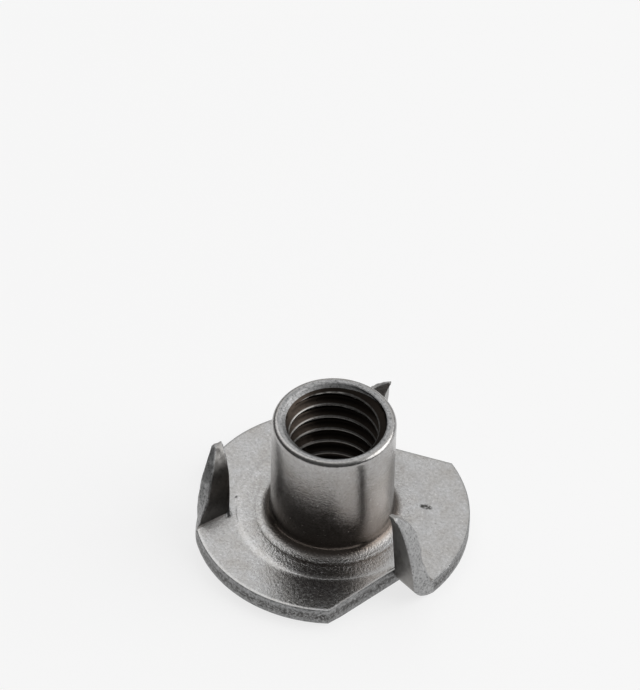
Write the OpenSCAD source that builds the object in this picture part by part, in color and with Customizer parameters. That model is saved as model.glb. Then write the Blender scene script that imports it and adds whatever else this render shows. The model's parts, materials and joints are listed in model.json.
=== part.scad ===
// Three-prong tee nut for a coarse 3/8 inch screw, pressed from one disc of sheet steel.
// Millimetres, +Z up along the barrel. The origin is on the bore axis, on the flange's underside.
// The first prong stands on +X, and the others follow at even steps round the axis.

/* [Thread] */
// Diameter of the tapped bore over the thread crests
bore_d = 8.1; // [7.8:0.05:8.3]
// Diameter over the thread roots
thread_d = 9.53; // [9.3:0.05:9.8]
// How far the countersink at the mouth is wider than the thread roots, on each side
mouth_lead = 0.15; // [0.05:0.05:0.3]

/* [Barrel] */
// Outer diameter of the drawn barrel
barrel_d = 11.3; // [11:0.1:12]
// Height of the whole nut, flange included
nut_h = 13.5; // [11:0.5:18]
// Rounding of the barrel's outer edge at the mouth
mouth_round = 0.45; // [0.2:0.05:0.5]
// Fillet between the barrel and the flange
root_fillet = 1.1; // [0.6:0.1:1.6]
// Draw radius of the bore's entry, on the underside
entry_round = 2.1; // [1.5:0.1:2.5]

/* [Flange] */
// Diameter of the flange
flange_d = 25.4; // [23:0.2:30]
// Thickness of the sheet
sheet = 1.8; // [1.4:0.1:2.2]
// Rolled edge on the underside of the rim
rim_round = 0.3; // [0.1:0.05:0.5]
// Diameter of the pressed ring round the barrel
ring_d = 17.6; // [16:0.2:18]
// How far the pressed ring stands above the flange
ring_rise = 0.12; // [0.05:0.01:0.3]

/* [Prongs] */
// Number of prongs cut from the rim
prong_count = 3; // [2:1:4]
// Distance of the prongs' inner edges from the axis
prong_r = 9.7; // [9.3:0.1:10.5]
// Length of a prong beyond its bend
prong_len = 7.6; // [5:0.1:8]
// Width of a prong at its blunt tip
tip_w = 0.4; // [0.3:0.1:1]
// Length of the bevel that thins the tip
tip_bevel = 3; // [1:0.1:4]
// Thickness left at the tip
tip_t = 0.3; // [0.1:0.1:0.6]
// Inside radius of the fold
fold_r = 0.4; // [0.2:0.1:1]
// Fold of the first prong, from flat
fold_1 = 85; // [55:1:95]
// Fold of the second prong, from flat
fold_2 = 82; // [55:1:95]
// Fold of the third prong, from flat, which was bent up less than the others
fold_3 = 64; // [55:1:95]
// Width of the slit beside a prong's foot
slit_w = 0.3; // [0.2:0.05:0.5]

/* [Hidden] */
$fn = 96;
steel = [0.72, 0.72, 0.71];

bore_r = bore_d / 2;
barrel_r = barrel_d / 2;
flange_r = flange_d / 2;
ring_r = ring_d / 2;
ring_z = sheet + ring_rise;
mouth_r = thread_d / 2 + mouth_lead;
mouth_depth = mouth_r - bore_r;
folds = [fold_1, fold_2, fold_3];
// An upright prong is centred on its radial plane, so its fold starts this far to one side of it.
fold_start = fold_r + sheet / 2;
// Folded stretches lap by this much where they join, and step by this little, so no two faces coincide.
lap = 0.2;
step = 0.02;
// Distance of the prong's outer edge from the axis at the fold: just inside the rim, in round numbers.
rim_x = floor(20 * sqrt(flange_r * flange_r - fold_start * fold_start) - lap) / 20;
prong_w = rim_x - prong_r;
// The prong's outer edge is an arc that leaves the fold upright and ends at the blunt tip.
tip_run = prong_w - tip_w;
edge_r = (tip_run * tip_run + prong_len * prong_len) / (2 * tip_run);
// Room past a face, so that cuts end clear of it.
past = 1;

// Quarter-round spandrel between two walls: the corner is at the origin, the arc lies in +X +Y.
module spandrel(r) {
    difference() {
        square(r);
        translate([r, r])
            circle(r);
    }
}

// Half section of the barrel, the flange and the pressed ring, with its round and hollow corners.
module section() {
    difference() {
        union() {
            translate([bore_r, 0])
                square([flange_r - bore_r, sheet]);
            translate([bore_r, 0])
                square([ring_r - bore_r, ring_z]);
            translate([bore_r, 0])
                square([barrel_r - bore_r, nut_h]);
            translate([barrel_r, ring_z])
                spandrel(root_fillet);
        }
        translate([bore_r, 0])
            spandrel(entry_round);
        translate([barrel_r, nut_h])
            rotate(180)
                spandrel(mouth_round);
        translate([flange_r, 0])
            rotate(90)
                spandrel(rim_round);
        translate([0, nut_h])
            polygon([[bore_r, -mouth_depth], [mouth_r, 0], [bore_r, 0]]);
    }
}

// Opening that a prong leaves in the flange, with the round-ended slit beside the prong's foot.
module prong_window() {
    slit_x = prong_r - slit_w;
    translate([prong_r, -flange_r])
        square([flange_r - prong_r + past, flange_r + fold_start - lap]);
    translate([slit_x, -flange_r])
        square([slit_w, flange_r + fold_start + lap]);
    translate([slit_x + slit_w / 2, fold_start + lap])
        circle(slit_w / 2);
}

// Flat outline of a prong from just inside its fold to its tip: X across it, Y along it.
module prong_outline() {
    translate([0, -lap])
        square([prong_w, lap + step]);
    intersection() {
        square([prong_w, prong_len]);
        translate([prong_w - edge_r, 0])
            circle(edge_r + step);
    }
}

// Side view of what the bevel takes off a prong's tip: X back from the tip, Y up from the lower face.
module tip_cut() {
    polygon([[0, tip_t], [tip_bevel, sheet], [tip_bevel, sheet + past], [-past, sheet + past], [-past, tip_t]]);
}

// The stretch of a prong beyond its fold, still flat, with the bevel on its upper face. It points along -Y.
module prong_blade() {
    difference() {
        mirror([0, 1, 0])
            linear_extrude(sheet)
                prong_outline();
        translate([-past, -prong_len, 0])
            rotate([90, 0, 90])
                linear_extrude(prong_w + 2 * past)
                    tip_cut();
    }
}

// A prong on +X, folded up by an angle: the bend, then the blade.
module prong(fold) {
    translate([rim_x - step, fold_start, sheet + fold_r + step])
        rotate([180, 90, 0])
            rotate_extrude(angle = fold)
                translate([fold_r, 0])
                    square([sheet, prong_w - 2 * step]);
    translate([prong_r, fold_start, sheet + fold_r + step])
        rotate([-fold, 0, 0])
            translate([0, 0, step - fold_r - sheet])
                prong_blade();
}

module tee_nut() {
    color(steel)
        union() {
            difference() {
                rotate_extrude()
                    section();
                for (i = [0 : prong_count - 1])
                    rotate(i * 360 / prong_count)
                        translate([0, 0, -past])
                            linear_extrude(sheet + 2 * past)
                                prong_window();
            }
            for (i = [0 : prong_count - 1])
                rotate(i * 360 / prong_count)
                    prong(folds[i % len(folds)]);
        }
}

tee_nut();
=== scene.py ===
"""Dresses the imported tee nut: a worn, pressed steel nut with a cut thread and three folded prongs."""
import json
import math
from collections import namedtuple

import bmesh
import bpy
import numpy as np
from mathutils import Matrix, Vector, noise


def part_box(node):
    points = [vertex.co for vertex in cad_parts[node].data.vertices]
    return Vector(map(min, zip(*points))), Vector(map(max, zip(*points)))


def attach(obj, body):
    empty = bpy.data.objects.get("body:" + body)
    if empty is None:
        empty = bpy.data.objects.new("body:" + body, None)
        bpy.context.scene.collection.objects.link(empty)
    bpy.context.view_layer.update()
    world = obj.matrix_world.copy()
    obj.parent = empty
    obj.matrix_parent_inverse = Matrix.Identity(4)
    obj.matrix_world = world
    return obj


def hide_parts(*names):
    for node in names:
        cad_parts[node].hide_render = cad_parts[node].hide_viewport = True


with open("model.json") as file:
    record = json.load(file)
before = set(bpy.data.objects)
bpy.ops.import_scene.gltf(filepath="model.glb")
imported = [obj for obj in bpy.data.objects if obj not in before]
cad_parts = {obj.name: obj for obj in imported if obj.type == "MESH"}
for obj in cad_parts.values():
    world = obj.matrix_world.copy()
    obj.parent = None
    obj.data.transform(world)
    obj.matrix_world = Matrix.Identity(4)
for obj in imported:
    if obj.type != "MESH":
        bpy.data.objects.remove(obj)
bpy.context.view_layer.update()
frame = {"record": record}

# Sizes are in millimetres and angles in degrees. These sizes come from the frame.
MM = 0.001
mounts = {mount["name"]: mount for mount in frame["record"]["mounts"]}
node_low, node_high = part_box("tee_nut")
nut_h = round(node_high.z / MM, 2)
flange_r = round(-node_low.x / MM, 1)
sheet = mounts["seat"]["pos_m"][2] / MM
crest_r = mounts["thread"]["dims"]["r_mm"]
barrel_r = mounts["barrel"]["dims"]["r_mm"]

# These repeat the part's source.
root_r = 4.765
mouth_r = 4.915
mouth_round = 0.45
root_fillet = 1.1
entry_round = 2.1
rim_round = 0.3
ring_r = 8.8
ring_rise = 0.12
ring_z = sheet + ring_rise
prong_count = 3
prong_r = 9.7
tip_t = 0.3
tip_bevel = 3.0
fold_r = 0.4
slit_w = 0.3
slit_x = prong_r - slit_w
fold_start = fold_r + sheet / 2

# Thread: its pitch, where it starts, half the width of its flat root, and how soft its corners are.
pitch = 25.4 / 16
thread_start = -0.35
root_half = 0.185 * pitch
thread_soft = 0.03
# Countersink: how fast it narrows with depth, and how far down it is bare metal.
mouth_slope = 1.6
mouth_bare = 0.25
# The pressed ring shows half the rise of the source, drops off at its edge, and has a fine groove inside it.
ring_h = 0.5 * ring_rise
ring_edge_power = 8
groove_depth = 0.05
groove_in = 0.15
groove_w = 0.12
# The barrel is uneven by this much, in swells of this size.
swell_depth = 0.012
swell_size = 3.0
# Cut edges: broken along the top, and rough between two heights. The rim's rounding underneath dies out over
# corner_run into each slit.
slit_round = 0.08
corner_run = 2
edge_break = 0.1
edge_middle = 0.3 * edge_break
cut_rough = 0.02
cut_grain = 0.5
cut_low = 0.2
cut_high = sheet - 0.06
# Edges of the mesh that turn more than this are shaded as sharp.
sharp_angle = 38

# Prongs: the inside of a fold is pinched to a crease, the twist and the slant set in over a short run, and a
# lean grows by this share with each millimetre. Sections below narrow_w have finer edges.
crease_share = 0.75
ease_run = 1.8
lean_growth = 0.1
narrow_w = 3 * rim_round
# The torn outer edge has waves, ripples and lumps, and slants over at most slant_limit of the blade's width.
wave_depth = 0.35
wave_size = 1.3
ripple_depth = 0.2
ripple_size = 0.5
slant_limit = 0.5
lump_depth = 0.07
lump_size = 0.8
# The tip has a rounded bevel, curls, and is chipped over its last stretch: across, through and along it.
bevel_power = 1.6
ragged_run = 2.2
tip_curl = 0.25
chip_size = 0.45
fine_chip_size = 0.22
fine_chip_share = 0.6
chip_across = 0.06
chip_through = 0.07
chip_along = 0.2
chip_along_size = 0.6
tip_shrinks = (0.6, 0.2)
tip_crown = 0.05
# Seeds that keep the noises of the three prongs, those on one prong, and those of the rim's thirds apart.
prong_seeds = [3.0, 14.0, 25.0]
lump_seed = 3
along_seed = 7
rim_seed_step = 5

# Mesh density: columns round the barrel, rows to a turn of thread, and points along the flange's outline.
rows_per_turn = 24
columns_per_row = 9
core_columns = columns_per_row * rows_per_turn
underside_rows = 5
entry_rows = 19
mouth_rows = 5
mouth_round_rows = 8
barrel_rows = 34
fillet_rows = 14
ring_rows = 22
cut_rows = 7
rim_rows = 6
lead_points = 5
slit_points = 40
slit_end_points = 8
fold_points = 12
arc_points = 88
bend_rings = 10
blade_rings = 34
blade_crowding = 1.3

# The barrel and the flange's plate meet on these two circles, clear of the pressed ring and the slits.
core_edge_r = ring_r + 0.35
plate_edge_r = 9.2
# The plate's columns fan out past the slit's end and the prong's foot, and settle along the rim.
fan_turn = 7
arc_turn = 15
settle_turn = 45
# Short leads hold the mesh square to the cut edges. They turn with the outline round the prong's foot.
slit_lead = 0.2
fold_lead = 0.25
rim_lead = 0.3
slit_lead_turn = 120
fold_lead_turn = 78
rim_lead_turn = 48
rim_lead_run = 6

# The nut's finishes, as the numbers of its materials.
PRESSED, SHEARED, THREAD, PRONG, TORN = range(5)

Row = namedtuple("Row", "r z finish threaded")
EdgePoint = namedtuple("EdgePoint", "place normal lead rounding angle stretch")


class Prong:
    """One prong's own sizes: no two were cut and folded quite alike.

    The burr is metal past the end of the blade, the slant is that of the torn outer edge, and the lean draws
    the blade inward. The fold is a straight line, given by its distance from the radial plane at its ends."""

    def __init__(self, fold, length, burr, tip_w, slant, twist, lean, inner_fold, outer_fold):
        self.bend = math.radians(fold)
        self.length = length
        self.burr = burr
        self.slant = slant
        self.twist = math.radians(twist)
        self.lean = lean
        self.inner_fold = inner_fold
        self.outer_fold = outer_fold
        self.foot_x = math.sqrt(flange_r ** 2 - outer_fold ** 2)
        self.width = self.foot_x - prong_r
        taper = self.width - tip_w
        self.edge_r = (taper ** 2 + length ** 2) / (2 * taper)

    def fold_y(self, x):
        """Where the fold crosses this distance from the axis."""
        return self.inner_fold + (self.outer_fold - self.inner_fold) * (x - prong_r) / self.width


# The third prong was folded further along, askew and less than the others, so it slopes and stands lower.
prongs = [Prong(fold=85, length=7.6, burr=0.5, tip_w=1.0, slant=0.85, twist=0, lean=0.0,
                inner_fold=fold_start, outer_fold=fold_start),
          Prong(fold=82, length=7.6, burr=0.3, tip_w=0.4, slant=0.85, twist=0, lean=0.0,
                inner_fold=fold_start, outer_fold=fold_start),
          Prong(fold=64, length=5.6, burr=0.2, tip_w=1.1, slant=0.45, twist=14, lean=0.45,
                inner_fold=-0.9, outer_fold=0.4)]


class Mesh:
    """Collects vertices, and faces with the number of their material."""

    def __init__(self):
        self.points = []
        self.faces = []
        self.finish = []

    def add(self, points):
        """Adds points and returns their numbers."""
        first = len(self.points)
        self.points.extend(tuple(p) for p in points)
        return list(range(first, len(self.points)))

    def face(self, corners, finish):
        self.faces.append(corners)
        self.finish.append(finish)

    def strip(self, one, two, finish, closed=False):
        """Quads between two rows of the same length."""
        count = len(one)
        for i in range(count if closed else count - 1):
            j = (i + 1) % count
            self.face((one[i], one[j], two[j], two[i]), finish)

    def join(self, one, one_angles, two, two_angles, finish):
        """Triangles between two closed rings with different numbers of points, both in order of angle."""
        turn = 2 * math.pi
        i = j = 0
        while i < len(one) or j < len(two):
            next_one = one_angles[(i + 1) % len(one)] + (turn if i + 1 >= len(one) else 0)
            next_two = two_angles[(j + 1) % len(two)] + (turn if j + 1 >= len(two) else 0)
            a, b = one[i % len(one)], two[j % len(two)]
            if j >= len(two) or (i < len(one) and next_one <= next_two):
                i += 1
                self.face((a, one[i % len(one)], b), finish)
            else:
                j += 1
                self.face((a, two[j % len(two)], b), finish)


class Column:
    """Numbers of the points of one line over the plate, down its cut edge and back along the underside."""

    def __init__(self, numbers, stretch, angle):
        self.top = numbers[:lead_points + 1]
        self.wall = numbers[lead_points:-lead_points]
        self.low = numbers[-lead_points - 1:]
        self.stretch = stretch
        self.angle = angle


def wobble(x, y, z, size, seed=0.0):
    """Smooth noise between -1 and 1 with features of about this size."""
    return noise.noise(Vector((x / size + seed, y / size - seed, z / size + 2 * seed)))


def quarter(count):
    """Angles over a quarter turn, in radians, with both ends."""
    return np.radians(np.linspace(0, 90, count))


def direction(degrees):
    return np.array([math.cos(math.radians(degrees)), math.sin(math.radians(degrees))])


def turned(points, turn):
    return [Vector(p) @ turn.transposed() for p in points]


def soft_clip(value):
    """The value where it is positive and nothing where it is negative, with a soft corner between."""
    return 0.5 * (value + math.sqrt(value * value + thread_soft * thread_soft))


def thread_radius(z, angle):
    """Radius of the right-handed thread: wide flat roots, 60 degree flanks and narrow crests."""
    along = ((z - thread_start) / pitch - angle / (2 * math.pi)) % 1.0
    past_root = abs(along - 0.5) * pitch - root_half
    return crest_r + soft_clip(root_r - crest_r - soft_clip(past_root * math.sqrt(3)))


def core_rows():
    """The section inside the plate, from its underside through the bore and over the barrel."""
    rows = []

    def put(r, z, finish, threaded=False):
        rows.append(Row(r, z, finish, threaded))

    entry_r = crest_r + entry_round
    for r in np.linspace(core_edge_r, entry_r, underside_rows + 1)[:-1]:
        put(r, 0.0, PRESSED)
    for a in quarter(entry_rows):
        r = entry_r - entry_round * math.sin(a)
        put(r, entry_round * (1 - math.cos(a)), THREAD if r < root_r else PRESSED, True)
    steps = int((nut_h - entry_round) / pitch * rows_per_turn)
    for step in range(1, steps):
        z = entry_round + step * pitch / rows_per_turn
        r = max(crest_r, mouth_r - mouth_slope * (nut_h - z))
        put(r, z, SHEARED if z > nut_h - mouth_bare else THREAD, True)
    for r in np.linspace(mouth_r, barrel_r - mouth_round, mouth_rows):
        put(r, nut_h, TORN)
    for a in quarter(mouth_round_rows)[1:]:
        put(barrel_r - mouth_round * (1 - math.sin(a)), nut_h - mouth_round * (1 - math.cos(a)), PRESSED)
    fillet_top = sheet + ring_h + root_fillet
    for z in np.linspace(nut_h - mouth_round, fillet_top, barrel_rows)[1:]:
        put(barrel_r, z, PRESSED)
    for a in quarter(fillet_rows)[1:]:
        put(barrel_r + root_fillet * (1 - math.cos(a)), fillet_top - root_fillet * math.sin(a), PRESSED)
    ring_start = barrel_r + root_fillet
    for t in np.sin(np.linspace(0, math.pi / 2, ring_rows)[1:]):
        r = ring_start + (ring_r - ring_start) * t
        groove = groove_depth * math.exp(-((r - ring_start - groove_in) / groove_w) ** 2)
        put(r, sheet + ring_h * (1 - t ** ring_edge_power) - groove, PRESSED)
    put(core_edge_r, sheet, PRESSED)
    return rows


def helix_lift(column):
    """How far a bore row rises at this column to follow the thread, until the next row takes over."""
    return (column % columns_per_row) / columns_per_row * pitch / rows_per_turn


def add_thread_strip(mesh, low, high, finish):
    """A strip of the bore. Where the rows step back down, it is split so that edges follow the thread."""
    for i in range(core_columns):
        j = (i + 1) % core_columns
        if j % columns_per_row:
            mesh.face((low[i], low[j], high[j], high[i]), finish)
        else:
            mesh.face((low[i], low[j], high[j]), finish)
            mesh.face((low[i], high[j], high[i]), finish)


def add_core(mesh):
    """The bore, the mouth, the barrel and the pressed ring. Returns its lower and upper outer rings."""
    angles = np.arange(core_columns) * 2 * math.pi / core_columns
    rings = []
    rows = core_rows()
    mouth_start = nut_h - (mouth_r - crest_r) / mouth_slope
    bore = [entry_round < row.z < mouth_start and row.threaded for row in rows]
    for row, helical in zip(rows, bore):
        points = []
        for column, angle in enumerate(angles):
            z = row.z + (helix_lift(column) if helical else 0.0)
            radius = max(row.r, thread_radius(z, angle)) if row.threaded else row.r
            x, y = radius * math.cos(angle), radius * math.sin(angle)
            uneven = swell_depth * wobble(x, y, z, swell_size) if ring_z < row.z < nut_h else 0.0
            scale = 1 + uneven / radius
            points.append((x * scale, y * scale, z))
        rings.append(mesh.add(points))
    for i in range(len(rows) - 1):
        if bore[i] and bore[i + 1]:
            add_thread_strip(mesh, rings[i], rings[i + 1], rows[i + 1].finish)
        else:
            mesh.strip(rings[i], rings[i + 1], rows[i + 1].finish, closed=True)
    return rings[0], rings[-1], angles


def plate_outline(prong):
    """One third of the plate's outline, anticlockwise, with this prong's foot on +X.

    Each point has its place, its outward normal, a short lead inward, the rounding of its lower edge, the
    angle where its column leaves the inner circle, and its stretch of the outline."""
    corner_y = -math.sqrt(flange_r ** 2 - slit_x ** 2)
    corner_angle = math.degrees(math.atan2(corner_y, slit_x))
    foot_angle = math.degrees(math.atan2(prong.outer_fold, prong.foot_x))
    slit_end_angle = math.degrees(math.atan2(prong.inner_fold, slit_x))
    fan_angle = slit_end_angle + fan_turn
    arc_start_angle = foot_angle + arc_turn
    points = []

    def put(place, normal, lead, rounding, angle, stretch):
        points.append(EdgePoint(np.array(place), np.array(normal), lead, rounding, angle, stretch))

    rim_normal = direction(corner_angle)
    mitre = (rim_normal + [1, 0]) / (1 + rim_normal[0])
    put((slit_x, corner_y), mitre, -fold_lead * mitre, rim_round, corner_angle, "slit")
    for y in np.linspace(corner_y, prong.inner_fold, slit_points + 1)[1:-1]:
        rounding = max(slit_round, rim_round * (1 - (y - corner_y) / corner_run))
        angle = math.degrees(math.atan2(y, slit_x))
        put((slit_x, y), (1, 0), np.array([-slit_lead, 0]), rounding, angle, "slit")
    centre = np.array([slit_x + slit_w / 2, prong.inner_fold])
    for t in np.linspace(0, 1, slit_end_points + 1):
        out = direction(180 - 180 * t)
        lead = slit_lead * direction(180 - slit_lead_turn * t)
        angle = slit_end_angle + (fan_angle - slit_end_angle) * t
        put(centre + out * slit_w / 2, -out, lead, slit_round, angle, "foot" if t == 1 else "slit")
    for t in np.linspace(0, 1, fold_points + 1)[1:]:
        x = prong_r + prong.width * t
        lead = fold_lead * direction(180 - slit_lead_turn + fold_lead_turn * t ** 3)
        angle = fan_angle + (arc_start_angle - fan_angle) * t
        put((x, prong.fold_y(x)), (1, 0), lead, rim_round, angle, "rim" if t == 1 else "fold")
    next_corner = 360 / prong_count + corner_angle
    for t in np.linspace(0, 1, arc_points + 1)[1:-1]:
        angle = foot_angle + (next_corner - foot_angle) * t
        settle = max(0.0, 1 - (angle - foot_angle) / settle_turn)
        back = 180 + angle - rim_lead_turn * max(0.0, 1 - (angle - foot_angle) / rim_lead_run)
        leave = angle + (arc_start_angle - foot_angle) * settle ** 2
        out = direction(angle)
        put(flange_r * out, out, rim_lead * direction(back), rim_round, leave, "rim")
    return points


def wall_profile(rounding):
    """Rows of a cut edge from the top face down to the underside: (inset, height)."""
    rows = [(edge_break, sheet), (edge_middle, sheet - edge_middle), (0.0, sheet - edge_break)]
    rows += [(0.0, z) for z in np.linspace(sheet - edge_break, rounding, cut_rows)[1:-1]]
    for a in quarter(rim_rows):
        rows.append((rounding * (1 - math.cos(a)), rounding * (1 - math.sin(a))))
    return rows


def prong_section(inner_x, outer_x, top, slant=0.0):
    """Points round a prong's section, from its inner edge over the top face: (across, height).

    The torn outer edge slants back this far towards the top face, and narrow sections have finer edges."""
    scale = top / sheet
    shrink = min(1.0, (outer_x - inner_x) / narrow_w)
    inner = [(inner_x + inset * shrink, z * scale) for inset, z in wall_profile(slit_round)]
    outer = []
    for inset, z in wall_profile(rim_round):
        outer.append((outer_x - inset * shrink - slant * z / sheet, z * scale))
    top_row = [(x, top) for x in np.linspace(inner[0][0], outer[0][0], fold_points + 1)]
    low_row = [(x, 0.0) for x in np.linspace(outer[-1][0], inner[-1][0], fold_points + 1)]
    return top_row + outer[1:-1] + low_row + inner[-2:0:-1]


def folded(prong, across, height, along, bend):
    """Where a point of the flat prong goes, with this much of the full fold, and this far along its blade.

    The inside of the fold is pinched to a crease."""
    radius = fold_r + sheet - height
    y = prong.fold_y(across) - radius * math.sin(bend) - along * math.cos(bend)
    z = sheet + fold_r - radius * math.cos(bend) + along * math.sin(bend)
    corner = np.array([across, prong.fold_y(across) - fold_r * math.tan(prong.bend / 2), sheet])
    crease = crease_share * height / sheet * math.sin(math.pi * bend / prong.bend) if along == 0 else 0.0
    return corner * crease + np.array([across, y, z]) * (1 - crease)


def blade_ring(prong, part, seed):
    """Points round a prong's blade, this share of the way from its fold to its tip."""
    length = prong.length + prong.burr
    along = length * part
    left = length - along
    outer_x = prong.foot_x - (prong.edge_r - math.sqrt(prong.edge_r ** 2 - (prong.length * part) ** 2))
    top = sheet - (sheet - tip_t) * max(0.0, 1 - left / tip_bevel) ** bevel_power
    ragged = max(0.0, 1 - left / ragged_run)
    run = min(1.0, along / ease_run)
    eased = run ** 2 * (3 - 2 * run)
    wave = wave_depth * wobble(0, 0, along, wave_size, seed)
    ripple = ripple_depth * wobble(0, 0, along, ripple_size, seed)
    slant = eased * (1 + wave + ripple) * min(prong.slant, slant_limit * (outer_x - prong_r))
    twist = prong.twist * eased
    curl = -tip_curl * ragged ** 2
    middle = prong.width / 2
    points = []
    for x, z in prong_section(prong_r, outer_x, top, slant):
        fine = fine_chip_share * wobble(x, z, along, fine_chip_size, seed)
        chip = wobble(x, z, along, chip_size, seed) + fine
        across, height = x - prong_r - middle, z - sheet / 2
        x = prong_r + middle + across * math.cos(twist) - height * math.sin(twist)
        z = sheet / 2 + across * math.sin(twist) + height * math.cos(twist)
        swell = wobble(x, z, along, lump_size, seed + lump_seed)
        lump = lump_depth * eased * swell * (x - prong_r) / prong.width
        x += lump + chip_across * ragged * chip - prong.lean * (1 + lean_growth * along)
        reach = along + chip_along * ragged * wobble(x, z, along, chip_along_size, seed + along_seed)
        points.append(folded(prong, x, z + curl + chip_through * ragged * chip, reach, prong.bend))
    return points


def add_prong(mesh, ring, turn, prong, seed):
    """Lofts a prong from its foot's ring of points on the plate to a ragged, bevelled tip."""
    count = len(ring)
    wall_rows = len(wall_profile(rim_round))
    walls = set(range(fold_points + 1, fold_points + wall_rows - 1))
    walls |= set(range(2 * fold_points + wall_rows, count))
    foot = prong_section(prong_r, prong.foot_x, sheet)
    rings = []
    for part in np.linspace(0, 1, bend_rings + 1)[1:]:
        bend = prong.bend * part
        rings.append([folded(prong, x - prong.lean * part ** 2, z, 0.0, bend) for x, z in foot])
    for part in 1 - (1 - np.linspace(0, 1, blade_rings + 1)[1:]) ** blade_crowding:
        rings.append(blade_ring(prong, part, seed))
    for points in rings:
        new = mesh.add(turned(points, turn))
        for i in range(count):
            j = (i + 1) % count
            mesh.face((ring[i], ring[j], new[j], new[i]), TORN if i in walls or j in walls else PRONG)
        ring = new
    edge = np.array([mesh.points[i] for i in ring])
    centre = np.mean(edge, axis=0)
    for shrink in tip_shrinks:
        new = mesh.add(centre + (edge - centre) * shrink + np.array([0, 0, tip_crown * (1 - shrink)]))
        mesh.strip(ring, new, PRONG, closed=True)
        ring = new
    mesh.face(tuple(ring), PRONG)


def edge_wall(prong, point, third, fold_part, smooth):
    """Points down the cut edge at one point of the plate's outline. A fold has one on each face instead."""
    if point.stretch == "fold":
        top_x = prong_r + edge_break + (prong.width - 2 * edge_break) * fold_part
        low_x = prong_r + slit_round + (prong.width - slit_round - rim_round) * fold_part
        return [(top_x, prong.fold_y(top_x), sheet), (low_x, prong.fold_y(low_x), 0.0)]
    wall = []
    for inset, z in wall_profile(point.rounding):
        rough = 0
        if cut_low < z < cut_high and not smooth:
            x, y = point.place
            rough = cut_rough * wobble(x, y, z + rim_seed_step * third, cut_grain)
        flat = point.place - point.normal * (inset + rough)
        wall.append((flat[0], flat[1], z))
    return wall


def add_plate(mesh):
    """The flange's plate with its cut rim, slits and prongs. Returns its lower and upper inner rings."""
    steps = np.linspace(0, 1, lead_points)
    columns = []
    for third, prong in enumerate(prongs):
        start = 360 / prong_count * third
        turn = Matrix.Rotation(math.radians(start), 3, "Z")
        first = len(columns)
        outline = plate_outline(prong)
        foot = [point.stretch for point in outline].index("foot")
        rim = foot + fold_points
        for i, point in enumerate(outline):
            wall = edge_wall(prong, point, third, (i - foot) / fold_points, i in (foot, rim))
            inner = plate_edge_r * direction(point.angle)
            top_lead = np.array(wall[0][:2]) + point.lead
            low_lead = np.array(wall[-1][:2]) + point.lead
            top = [tuple(inner + (top_lead - inner) * t) + (sheet,) for t in steps]
            low = [tuple(inner + (low_lead - inner) * t) + (0.0,) for t in steps]
            numbers = mesh.add(turned(top + wall + low[::-1], turn))
            columns.append(Column(numbers, point.stretch, math.radians(point.angle + start) % (2 * math.pi)))
        feet = columns[first + foot:first + rim + 1]
        ring = [column.wall[0] for column in feet] + feet[-1].wall[1:-1]
        ring += [column.wall[-1] for column in reversed(feet)] + feet[0].wall[-2:0:-1]
        add_prong(mesh, ring, turn, prong, prong_seeds[third])
    for one, two in zip(columns, columns[1:] + columns[:1]):
        mesh.strip(one.top, two.top, PRESSED)
        mesh.strip(one.low, two.low, PRESSED)
        if one.stretch != "fold" and two.stretch != "fold":
            mesh.strip(one.wall, two.wall, SHEARED)
    columns.sort(key=lambda column: column.angle)
    angles = [column.angle for column in columns]
    return [column.low[-1] for column in columns], [column.top[0] for column in columns], angles


def build_nut():
    """The whole nut as one closed mesh, in metres in the frame of the part."""
    mesh = Mesh()
    core_low, core_top, core_angles = add_core(mesh)
    plate_low, plate_top, plate_angles = add_plate(mesh)
    mesh.join(core_low, core_angles, plate_low, plate_angles, PRESSED)
    mesh.join(core_top, core_angles, plate_top, plate_angles, PRESSED)
    data = bpy.data.meshes.new("tee_nut_body")
    data.from_pydata([tuple(c * MM for c in p) for p in mesh.points], [], mesh.faces)
    data.polygons.foreach_set("material_index", mesh.finish)
    work = bmesh.new()
    work.from_mesh(data)
    bmesh.ops.recalc_face_normals(work, faces=work.faces)
    work.to_mesh(data)
    work.free()
    data.shade_smooth()
    data.set_sharp_from_angle(angle=math.radians(sharp_angle))
    piece = bpy.data.objects.new("tee_nut_body", data)
    bpy.context.scene.collection.objects.link(piece)
    return piece


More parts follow.
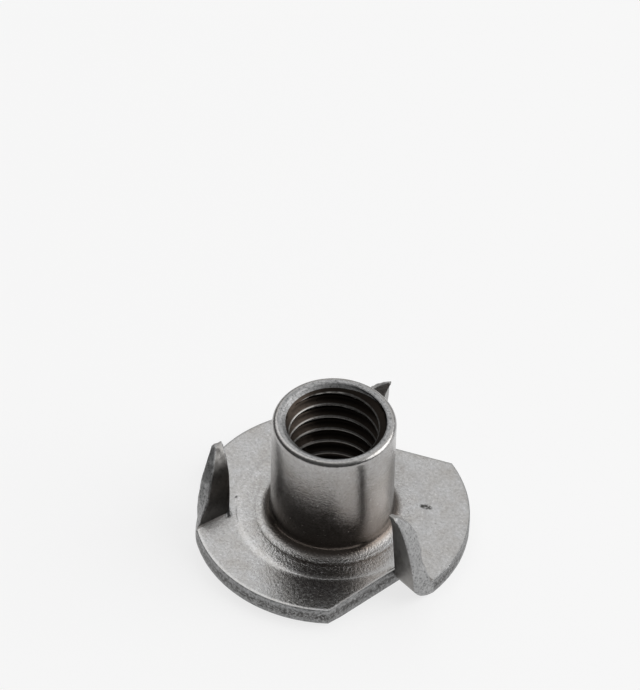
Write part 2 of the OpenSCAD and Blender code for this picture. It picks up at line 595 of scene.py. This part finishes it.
class Nodes:
    """Short ways to add and link shader nodes."""

    def __init__(self, tree):
        self.tree = tree

    def add(self, kind, **settings):
        node = self.tree.nodes.new(kind)
        for name, value in settings.items():
            setattr(node, name, value)
        return node

    def link(self, output, target):
        self.tree.links.new(output, target)

    def set(self, target, value):
        """Links an output to a socket, or sets the socket to a number or a colour."""
        if hasattr(value, "is_linked"):
            self.link(value, target)
        else:
            target.default_value = value if isinstance(value, (int, float)) else (*value, 1)

    def noise(self, place, size, detail, rough):
        """Noise with features of about this size, in millimetres."""
        node = self.add("ShaderNodeTexNoise")
        node.inputs["Scale"].default_value = 1 / (size * MM)
        node.inputs["Detail"].default_value = detail
        node.inputs["Roughness"].default_value = rough
        self.link(place, node.inputs["Vector"])
        return node.outputs["Fac"]

    def spread(self, value, low, high, new_low, new_high):
        """Maps a value from one range to another, and holds it at the ends."""
        node = self.add("ShaderNodeMapRange", clamp=True)
        node.inputs["From Min"].default_value = low
        node.inputs["From Max"].default_value = high
        node.inputs["To Min"].default_value = new_low
        node.inputs["To Max"].default_value = new_high
        self.link(value, node.inputs["Value"])
        return node.outputs["Result"]

    def fade(self, value, low, high, new_low, new_high):
        """The same for a length, with its range in millimetres."""
        return self.spread(value, low * MM, high * MM, new_low, new_high)

    def ramp(self, value, stops):
        node = self.add("ShaderNodeValToRGB")
        while len(node.color_ramp.elements) < len(stops):
            node.color_ramp.elements.new(0.5)
        for element, (place, colour) in zip(node.color_ramp.elements, stops):
            element.position = place
            element.color = (*colour, 1)
        self.link(value, node.inputs["Fac"])
        return node.outputs["Color"]

    def mix(self, amount, one, two):
        node = self.add("ShaderNodeMix", data_type="RGBA")
        for socket, value in (("Factor", amount), (6, one), (7, two)):
            self.set(node.inputs[socket], value)
        return node.outputs[2]

    def maths(self, operation, one, two):
        node = self.add("ShaderNodeMath", operation=operation)
        self.set(node.inputs[0], one)
        self.set(node.inputs[1], two)
        return node.outputs["Value"]

    def mark(self, place, broken, centre, size):
        """How much of a mark of this size shows, broken up by a noise."""
        away = self.add("ShaderNodeVectorMath", operation="DISTANCE")
        self.link(place, away.inputs[0])
        away.inputs[1].default_value = [c * MM for c in centre]
        near = self.fade(away.outputs["Value"], size, 0.4 * size, 0.0, 1.0)
        return self.maths("MULTIPLY", near, self.spread(broken, 0.42, 0.5, 0.2, 1.0))

    def bump(self, height, strength, distance, before=None):
        """Small relief, this deep in millimetres, over any relief before it."""
        node = self.add("ShaderNodeBump")
        node.inputs["Strength"].default_value = strength
        node.inputs["Distance"].default_value = distance * MM
        self.link(height, node.inputs["Height"])
        if before is not None:
            self.link(before, node.inputs["Normal"])
        return node.outputs["Normal"]

    def place_parts(self, place):
        """A point's height above the flange's underside and its distance from the bore's axis."""
        parts = self.add("ShaderNodeSeparateXYZ")
        self.link(place, parts.inputs["Vector"])
        flat = self.add("ShaderNodeCombineXYZ")
        self.link(parts.outputs["X"], flat.inputs["X"])
        self.link(parts.outputs["Y"], flat.inputs["Y"])
        away = self.add("ShaderNodeVectorMath", operation="LENGTH")
        self.link(flat.outputs["Vector"], away.inputs[0])
        return parts.outputs["Z"], away.outputs["Value"]


def grey(tone):
    return (tone,) * 3


# Colours of the steel, of what lies on it, and of painted shade.
stained_skin = (0.37, 0.35, 0.325)
clean_skin = (0.52, 0.525, 0.535)
dark_grain = (0.24, 0.237, 0.23)
light_grain = (0.62, 0.62, 0.615)
speck_colour = (0.16, 0.155, 0.15)
# Darker drawn steel, and painted shade at the barrel's foot and on its fillet.
drawn_and_shaded_colour = (0.135, 0.107, 0.088)
mark_colour = (0.05, 0.048, 0.045)
# The prongs' faces: old oil in the smears, and painted shade that makes them far darker than the flange.
shaded_oily_smear = (0.17, 0.158, 0.148)
shaded_dry_smear = (0.34, 0.325, 0.31)
shaded_oily_grain = (0.13, 0.128, 0.125)
shaded_dry_grain = (0.4, 0.395, 0.385)
scraped_colour = (0.36, 0.355, 0.345)
break_colour = (0.05, 0.047, 0.044)
dark_crest = (0.2, 0.19, 0.18)
light_crest = (0.4, 0.395, 0.38)
# Painted shade in the thread's roots and deep in the bore.
painted_bore_shade = (0.035, 0.028, 0.023)

# Small dark marks on the flange, a scuff and a pit: place and size in millimetres.
flange_marks = [(5.34, 6.84, 0.45), (5.66, 7.06, 0.3), (5.06, 6.6, 0.3), (-6.79, -5.68, 0.2)]


def new_material(name):
    material = bpy.data.materials.new(name)
    material.use_nodes = True
    nodes = Nodes(material.node_tree)
    shader = material.node_tree.nodes["Principled BSDF"]
    shader.inputs["Metallic"].default_value = 1.0
    place = nodes.add("ShaderNodeTexCoord").outputs["Object"]
    return material, nodes, shader, place


def pressed_steel():
    """Satin skin of the pressed sheet: fine mottling, stains and specks.

    The drawn barrel is darker steel, with painted shade that deepens low down towards its foot and over its
    fillet, and the flange is crumpled a little round its foot."""
    material, nodes, shader, place = new_material("pressed_steel")
    grain = nodes.noise(place, 0.3, 5.0, 0.7)
    stain = nodes.noise(place, 2.0, 6.0, 0.65)
    speck = nodes.noise(place, 0.16, 2.0, 0.5)
    tone = nodes.ramp(stain, [(0.3, stained_skin), (0.7, clean_skin)])
    mottled = nodes.mix(0.45, tone, nodes.ramp(grain, [(0.3, dark_grain), (0.7, light_grain)]))
    colour = nodes.mix(nodes.spread(speck, 0.66, 0.74, 0.0, 0.7), mottled, speck_colour)
    height, away = nodes.place_parts(place)
    on_barrel = nodes.fade(away, barrel_r + 0.95, barrel_r + 0.3, 0.0, 1.0)
    # Painted shade: the barrel is darkened most at its foot and over the fillet, on top of a darker drawn
    # steel.
    drawn_and_shaded = nodes.maths("MULTIPLY", on_barrel, nodes.fade(height, 3, 13, 0.9, 0.2))
    drawn_and_shaded = nodes.maths("MULTIPLY", drawn_and_shaded, nodes.fade(height, 1.4, 1.8, 0.0, 1.0))
    colour = nodes.mix(drawn_and_shaded, colour, drawn_and_shaded_colour)
    for x, y, size in flange_marks:
        colour = nodes.mix(nodes.mark(place, speck, (x, y, sheet), size), colour, mark_colour)
    nodes.link(colour, shader.inputs["Base Color"])
    nodes.link(nodes.spread(grain, 0.3, 0.7, 0.15, 0.28), shader.inputs["Roughness"])
    first = nodes.bump(grain, 0.65, 0.03)
    second = nodes.bump(speck, 0.42, 0.02, first)
    inside = nodes.fade(away, barrel_r + 0.1, barrel_r + 0.4, 0.0, 1.0)
    outside = nodes.fade(away, 7.4, 8.6, 1.0, 0.0)
    crumpled = nodes.maths("MULTIPLY", speck, nodes.maths("MULTIPLY", inside, outside))
    nodes.link(nodes.bump(crumpled, 0.8, 0.06, second), shader.inputs["Normal"])
    return material


def prong_steel():
    """Faces of the prongs: the same skin, darkened by painted shade and by old oil, and scraped near the
    tips.
    """
    material, nodes, shader, place = new_material("prong_steel")
    grain = nodes.noise(place, 0.3, 4.0, 0.6)
    smear = nodes.noise(place, 1.4, 4.0, 0.65)
    # Painted shade: the prongs' faces are coloured far darker than the flange's skin, with old oil in the
    # smears.
    tone = nodes.ramp(smear, [(0.35, shaded_oily_smear), (0.7, shaded_dry_smear)])
    colour = nodes.mix(0.4, tone, nodes.ramp(grain, [(0.3, shaded_oily_grain), (0.75, shaded_dry_grain)]))
    height = nodes.place_parts(place)[0]
    scraped = nodes.maths("ADD", height, nodes.spread(smear, 0.3, 0.7, -1.2 * MM, 1.2 * MM))
    colour = nodes.mix(nodes.fade(scraped, 5, 5.6, 0.0, 0.5), colour, scraped_colour)
    nodes.link(colour, shader.inputs["Base Color"])
    nodes.link(nodes.spread(grain, 0.3, 0.7, 0.36, 0.5), shader.inputs["Roughness"])
    nodes.link(nodes.bump(grain, 0.2, 0.02), shader.inputs["Normal"])
    return material


def sheared_steel(name, light, banded):
    """Rough cut edges: torn grain, dull, with dark pits.

    The lighter ones are freshly torn. A banded one is darker where the sheet broke, at half its height."""
    material, nodes, shader, place = new_material(name)
    torn = nodes.noise(place, 0.22, 5.0, 0.7)
    broad = nodes.noise(place, 1.6, 3.0, 0.6)
    tones = [(0.34, grey(0.05 * light)), (0.45, grey(0.24 * light)), (0.7, grey(0.40 * light))]
    dull = nodes.spread(broad, 0.35, 0.65, 0.0, 0.45)
    colour = nodes.mix(dull, nodes.ramp(torn, tones), grey(0.22 * light))
    if banded:
        height = nodes.place_parts(place)[0]
        below = nodes.fade(height, 1.5, 1.2, 0.0, 1.0)
        above = nodes.fade(height, 0.4, 0.8, 0.0, 1.0)
        pitted = nodes.spread(torn, 0.45, 0.6, 0.8, 0.1)
        broken = nodes.maths("MULTIPLY", nodes.maths("MULTIPLY", below, above), pitted)
        colour = nodes.mix(broken, colour, break_colour)
    nodes.link(colour, shader.inputs["Base Color"])
    nodes.link(nodes.spread(torn, 0.3, 0.7, 0.5, 0.34), shader.inputs["Roughness"])
    nodes.link(nodes.bump(torn, 0.7, 0.05), shader.inputs["Normal"])
    return material


def thread_steel():
    """Cut thread: brighter scraped crests, and painted shade in the roots and deeper down the bore."""
    material, nodes, shader, place = new_material("thread_steel")
    height, away = nodes.place_parts(place)
    grain = nodes.noise(place, 0.3, 4.0, 0.6)
    # Painted shade: the thread's roots and the bore below the mouth are coloured dark.
    deep = nodes.fade(away, crest_r + 0.02, crest_r + 0.14, 0.0, 1.0)
    light = nodes.ramp(grain, [(0.3, dark_crest), (0.7, light_crest)])
    dark = nodes.fade(height, 5, 12.6, 0.75, 0.0)
    colour = nodes.mix(nodes.maths("MAXIMUM", deep, dark), light, painted_bore_shade)
    nodes.link(colour, shader.inputs["Base Color"])
    nodes.link(nodes.spread(grain, 0.3, 0.7, 0.26, 0.42), shader.inputs["Roughness"])
    nodes.link(nodes.bump(grain, 0.2, 0.02), shader.inputs["Normal"])
    return material


# Where the photograph was taken from, fitted to the flange's rim and the barrel. The nut's origin is at
# pixel (origin_u, origin_v) of the picture.
camera_elevation = math.radians(46.78)
camera_angle = math.radians(-42.4)
camera_roll = math.radians(1.81)
camera_distance = 600 * MM
camera_clip = 10 * MM
focal_pixels = 6524.0
picture_w, picture_h = 640, 690
origin_u, origin_v = 331.2, 522.8
sensor = 36.0

# The floor lies a hair below the nut, and part of its light is its own. Its half width is in metres.
floor_half = 0.5
floor_drop = 0.02
floor_tone = 0.92
floor_glow = 1.03
floor_glow_share = 0.73

# The room is brightest this far up from straight behind the nut, and this far to the right.
glow_up = math.radians(40)
glow_right = math.radians(25)
room_tones = [(0.05, 0.1), (0.55, 0.24), (0.88, 0.93)]
low_tone = 0.07
# Each lamp's name, how far it is behind the nut, to the right and up, its width in metres, and its watts.
lamps = [("lamp_left", 0.45, -0.35, 0.8, 0.7, 0.9),
         ("lamp_right", 0.05, 0.8, 0.5, 0.9, 5.0)]


def add_camera():
    """Aims a long lens so that the nut's origin lands on its pixel in the picture."""
    side = math.cos(camera_elevation)
    back = Vector((side * math.cos(camera_angle), side * math.sin(camera_angle), math.sin(camera_elevation)))
    right = Vector((-math.sin(camera_angle), math.cos(camera_angle), 0))
    up = back.cross(right)
    level = Matrix((right, up, back)).transposed()
    rolled = level @ Matrix.Rotation(camera_roll, 3, "Z")
    ray = Vector((origin_u - picture_w / 2, picture_h / 2 - origin_v, -focal_pixels)).normalized()
    aim = Vector((0, 0, -1)).rotation_difference(ray).to_matrix()
    data = bpy.data.cameras.new("camera")
    data.sensor_width = sensor
    data.lens = focal_pixels * sensor / picture_h
    data.clip_start = camera_clip
    camera = bpy.data.objects.new("camera", data)
    camera.matrix_world = Matrix.Translation(back * camera_distance) @ (rolled @ aim.transposed()).to_4x4()
    bpy.context.scene.collection.objects.link(camera)
    bpy.context.scene.camera = camera
    return back, right


def floor_white():
    """Matt white with a glow of its own, clear from underneath so that the nut's underside can be seen."""
    material = bpy.data.materials.new("floor_white")
    material.use_nodes = True
    shader = material.node_tree.nodes["Principled BSDF"]
    shader.inputs["Base Color"].default_value = (*grey(floor_tone), 1)
    shader.inputs["Roughness"].default_value = 0.9
    shader.inputs["Specular IOR Level"].default_value = 0.1
    nodes = Nodes(material.node_tree)
    white = nodes.add("ShaderNodeEmission")
    white.inputs["Color"].default_value = (1.0, 1.0, 1.0, 1)
    white.inputs["Strength"].default_value = floor_glow
    path = nodes.add("ShaderNodeLightPath")
    seen = nodes.maths("MAXIMUM", path.outputs["Is Camera Ray"], path.outputs["Is Glossy Ray"])
    seen = nodes.maths("MAXIMUM", seen, path.outputs["Is Transmission Ray"])
    blend = nodes.add("ShaderNodeMixShader")
    nodes.link(nodes.maths("MULTIPLY", seen, floor_glow_share), blend.inputs["Fac"])
    nodes.link(shader.outputs["BSDF"], blend.inputs[1])
    nodes.link(white.outputs["Emission"], blend.inputs[2])
    one_sided = nodes.add("ShaderNodeMixShader")
    nodes.link(nodes.add("ShaderNodeNewGeometry").outputs["Backfacing"], one_sided.inputs["Fac"])
    nodes.link(blend.outputs["Shader"], one_sided.inputs[1])
    nodes.link(nodes.add("ShaderNodeBsdfTransparent").outputs["BSDF"], one_sided.inputs[2])
    nodes.link(one_sided.outputs["Shader"], material.node_tree.nodes["Material Output"].inputs["Surface"])
    return material


def add_floor():
    """A plain pale floor under the nut."""
    data = bpy.data.meshes.new("floor")
    corners = [(-1, -1), (1, -1), (1, 1), (-1, 1)]
    data.from_pydata([(x * floor_half, y * floor_half, 0) for x, y in corners], [], [(0, 1, 2, 3)])
    data.materials.append(floor_white())
    floor = bpy.data.objects.new("floor", data)
    floor.location.z = -floor_drop * MM
    bpy.context.scene.collection.objects.link(floor)


def add_light(back, right):
    """Soft studio light: a room bright behind the nut and to the right, dark low down, and two lamps."""
    away = Vector((-back.x, -back.y, 0)).normalized()
    up = Vector((0, 0, 1))
    world = bpy.data.worlds.new("studio")
    bpy.context.scene.world = world
    world.use_nodes = True
    nodes = Nodes(world.node_tree)
    room = world.node_tree.nodes["Background"]
    way = nodes.add("ShaderNodeTexCoord").outputs["Generated"]
    parts = nodes.add("ShaderNodeSeparateXYZ")
    nodes.link(way, parts.inputs["Vector"])
    toward = nodes.add("ShaderNodeVectorMath", operation="DOT_PRODUCT")
    level = away * math.cos(glow_right) + right * math.sin(glow_right)
    toward.inputs[1].default_value = level * math.cos(glow_up) + up * math.sin(glow_up)
    nodes.link(way, toward.inputs[0])
    sky = nodes.ramp(toward.outputs["Value"], [(place, grey(tone)) for place, tone in room_tones])
    low = nodes.spread(parts.outputs["Z"], 0.05, 0.45, 0.9, 0.0)
    nodes.link(nodes.mix(low, sky, grey(low_tone)), room.inputs["Color"])
    room.inputs["Strength"].default_value = 1.0
    for name, behind, sideways, rise, size, power in lamps:
        lamp = bpy.data.lights.new(name, "AREA")
        lamp.shape = "DISK"
        lamp.size = size
        lamp.energy = power
        holder = bpy.data.objects.new(name, lamp)
        holder.location = away * behind + right * sideways + up * rise
        holder.rotation_mode = "QUATERNION"
        holder.rotation_quaternion = (-holder.location).to_track_quat("-Z", "Y")
        bpy.context.scene.collection.objects.link(holder)


nut = build_nut()
for finish in (pressed_steel(), sheared_steel("sheared_steel", 1.0, True), thread_steel(), prong_steel(),
               sheared_steel("torn_steel", 1.35, False)):
    nut.data.materials.append(finish)
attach(nut, "root")
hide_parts("tee_nut")

bpy.context.scene.view_settings.view_transform = "Standard"
camera_back, camera_right = add_camera()
add_floor()
add_light(camera_back, camera_right)
